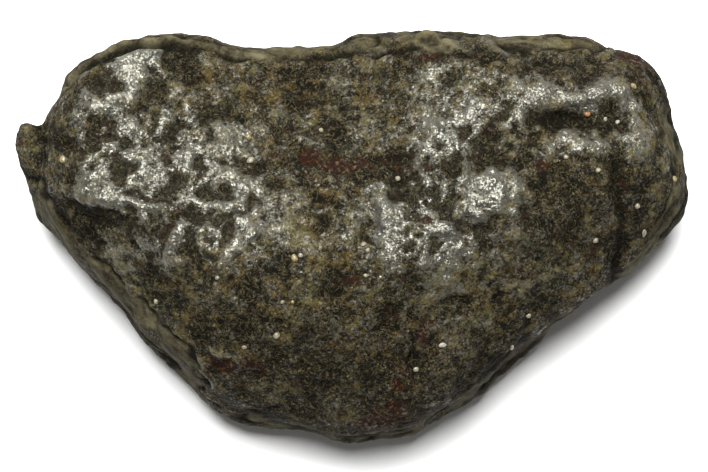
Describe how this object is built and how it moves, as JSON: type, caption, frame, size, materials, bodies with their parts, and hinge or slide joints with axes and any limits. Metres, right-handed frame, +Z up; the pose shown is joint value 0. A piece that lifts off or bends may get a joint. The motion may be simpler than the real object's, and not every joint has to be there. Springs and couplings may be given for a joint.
{
  "type": "iron meteorite",
  "caption": "Small whole iron meteorite with a worn dark oxide crust, shallow thumbprint hollows, a blunt knob at one end and a small flat spot to rest on.",
  "frame": {"origin": "under the middle of the stone's box, on the surface it rests on", "axes": "+X along the longest side, away from the knob; +Y across the stone, towards its straighter long edge; +Z up, out of the worn face"},
  "size_m": [0.0338, 0.0208, 0.0107],
  "materials": {
    "oxide_crust": "semi-gloss worn oxide crust"
  },
  "bodies": {
    "root": {"meteorite": "oxide_crust"}
  },
  "joints": []
}
